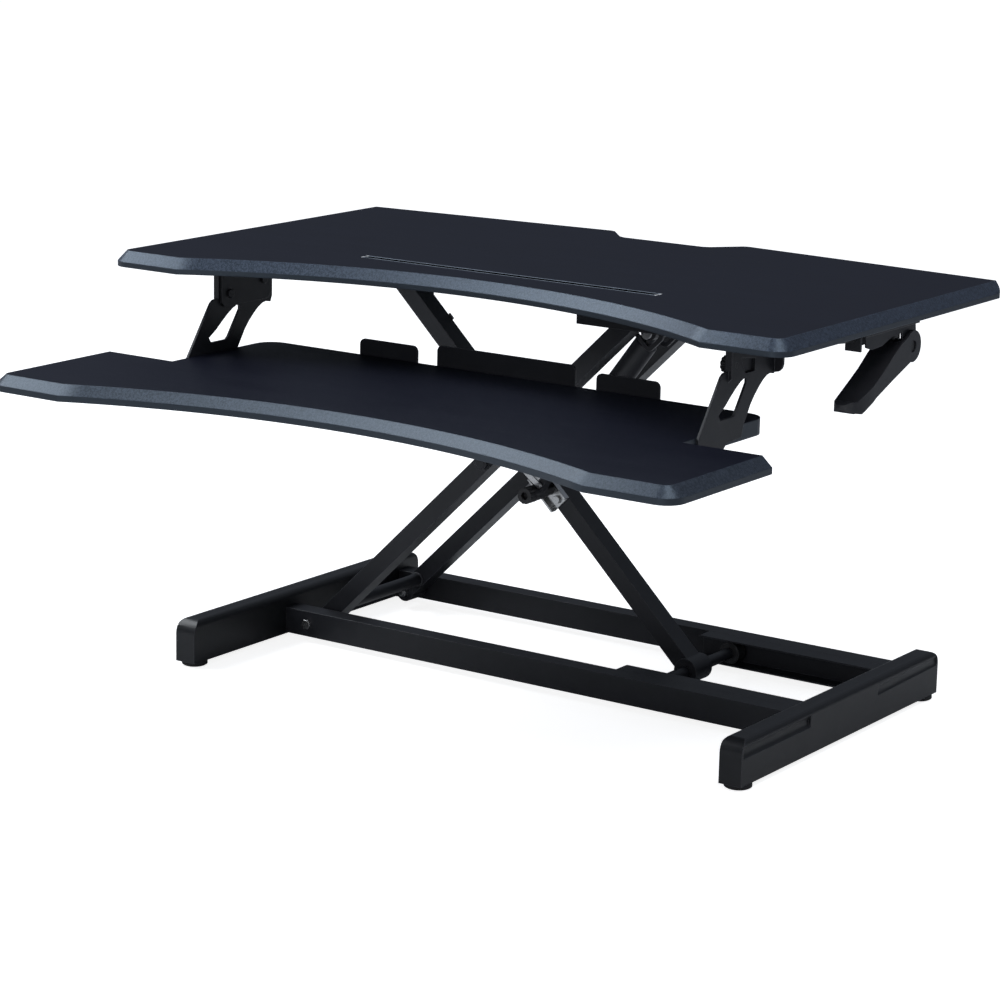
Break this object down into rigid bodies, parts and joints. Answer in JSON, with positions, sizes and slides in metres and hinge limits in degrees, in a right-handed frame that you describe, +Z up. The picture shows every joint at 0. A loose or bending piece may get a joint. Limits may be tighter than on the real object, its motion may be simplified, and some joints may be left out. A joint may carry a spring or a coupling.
{
  "type": "standing desk converter",
  "caption": "Black standing desk converter: concave worktop over a wide keyboard tray, on a scissor lift with gas spring, side release lever and two feet.",
  "frame": {"origin": "on the desk surface, under the centre of the raised object's bounding box", "axes": "+X to the user's right along the worktop, +Y away from the user, +Z up"},
  "size_m": [0.9, 0.738, 0.502],
  "materials": {
    "board": "satin black laminate on board, speckled grain",
    "frame_steel": "fine satin black powder coat",
    "zinc_steel": "bright zinc plate",
    "polished_rod": "polished",
    "black_plastic": "matte moulded",
    "roller_plastic": "smooth moulded",
    "pale_plastic": "smooth moulded",
    "rubber": "matte"
  },
  "bodies": {
    "base": {"foot_left": "frame_steel", "foot_right": "frame_steel", "rubber_feet": "rubber", "front_rail": "frame_steel", "rear_rail": "frame_steel", "rail_bolts": "zinc_steel", "lower_track_front": "frame_steel", "lower_track_rear": "frame_steel", "lower_pivot_bolts": "zinc_steel", "lower_pivot_nuts": "zinc_steel"},
    "outer_frame": {"outer_arm_front": "frame_steel", "outer_arm_rear": "frame_steel", "lower_cross_tube": "frame_steel", "upper_cross_tube": "frame_steel", "centre_pivot_shaft": "zinc_steel", "centre_pivot_nuts": "frame_steel", "upper_axle": "zinc_steel"},
    "centre_frame": {"centre_arm": "frame_steel", "centre_bushes": "pale_plastic", "lower_axle": "frame_steel", "upper_hinge_tube": "frame_steel", "spring_bracket": "zinc_steel", "spring_bracket_bolts": "zinc_steel", "spring_pin": "black_plastic"},
    "lower_front_wheel": {"lower_roller_front": "roller_plastic"},
    "lower_rear_wheel": {"lower_roller_rear": "roller_plastic"},
    "upper_front_wheel": {"upper_roller_front": "roller_plastic"},
    "upper_rear_wheel": {"upper_roller_rear": "roller_plastic"},
    "spring_rod": {"gas_rod": "polished_rod", "gas_rod_end": "frame_steel", "release_arm_pin": "zinc_steel"},
    "spring_cylinder": {"gas_cylinder": "frame_steel", "gas_top_eye": "frame_steel", "gas_top_pin": "zinc_steel"},
    "valve_arm": {"release_arm": "zinc_steel"},
    "top": {"worktop": "board", "upper_track_front": "frame_steel", "upper_track_rear": "frame_steel", "hinge_bracket": "frame_steel", "hinge_pin": "zinc_steel", "frame_crossbar": "frame_steel", "worktop_screws": "frame_steel", "tray_hanger_left": "frame_steel", "tray_hanger_right": "frame_steel", "tray_bracket_left": "frame_steel", "tray_bracket_right": "frame_steel", "bracket_bolts": "frame_steel", "keyboard_tray": "board", "tray_stops": "frame_steel", "tray_screws": "frame_steel", "lever_bracket": "frame_steel", "lever_bracket_screws": "frame_steel", "lever_pin": "zinc_steel", "lever_spring": "zinc_steel", "release_cable": "black_plastic", "cable_clips": "black_plastic"},
    "lever": {"release_lever": "black_plastic"},
    "knob": {"tray_knob": "black_plastic"}
  },
  "joints": [
    {"name": "lift", "type": "hinge", "parent": "base", "child": "outer_frame", "pos_m": [-0.33, 0.192, 0.024], "axis": [0, -1, 0], "range_deg": [-37.5, 0]},
    {"name": "centre_pivot", "type": "hinge", "parent": "outer_frame", "child": "centre_frame", "pos_m": [-0.09204, 0.192, 0.25695], "axis": [0, -1, 0], "range_deg": [0, 75]},
    {"name": "top_hinge", "type": "hinge", "parent": "centre_frame", "child": "top", "pos_m": [-0.29927, 0.192, 0.45981], "axis": [0, -1, 0], "range_deg": [-37.5, 0]},
    {"name": "lower_front_roller_spin", "type": "hinge", "parent": "centre_frame", "child": "lower_front_wheel", "pos_m": [0.14592, 0.10075, 0.024], "axis": [0, -1, 0], "continuous": true},
    {"name": "lower_rear_roller_spin", "type": "hinge", "parent": "centre_frame", "child": "lower_rear_wheel", "pos_m": [0.14592, 0.28325, 0.024], "axis": [0, -1, 0], "continuous": true},
    {"name": "upper_front_roller_spin", "type": "hinge", "parent": "outer_frame", "child": "upper_front_wheel", "pos_m": [0.11519, 0.0789, 0.45981], "axis": [0, -1, 0], "continuous": true},
    {"name": "upper_rear_roller_spin", "type": "hinge", "parent": "outer_frame", "child": "upper_rear_wheel", "pos_m": [0.11519, 0.3051, 0.45981], "axis": [0, -1, 0], "continuous": true},
    {"name": "spring_swing", "type": "hinge", "parent": "centre_frame", "child": "spring_rod", "pos_m": [-0.0535, 0.15, 0.216], "axis": [0, -1, 0], "range_deg": [-81.5, 0]},
    {"name": "spring_stroke", "type": "slide", "parent": "spring_rod", "child": "spring_cylinder", "axis": [0.5952, 0, 0.8036], "range_m": [-0.0625, 0]},
    {"name": "valve_arm_turn", "type": "hinge", "parent": "spring_rod", "child": "valve_arm", "pos_m": [-0.04517, 0.141, 0.22725], "axis": [0, -1, 0], "range_deg": [0, 12]},
    {"name": "release_lever_pull", "type": "hinge", "parent": "top", "child": "lever", "pos_m": [0.432, 0.126, 0.457], "axis": [-1, 0, 0], "range_deg": [0, 15], "stiffness_Nm_per_rad": 0.6, "springref_deg": -5.73},
    {"name": "tray_knob_turn", "type": "hinge", "parent": "top", "child": "knob", "pos_m": [0.332, -0.076, 0.4525], "axis": [1, 0, 0], "continuous": true}
  ],
  "couplings": [
    {"joint": "centre_pivot", "follows": "lift", "ratio": -2},
    {"joint": "top_hinge", "follows": "lift", "ratio": 1},
    {"joint": "spring_swing", "follows": "lift", "ratio": 2.17},
    {"joint": "spring_stroke", "follows": "lift", "m_per_rad": 0.095},
    {"joint": "valve_arm_turn", "follows": "release_lever_pull", "ratio": 0.8}
  ]
}
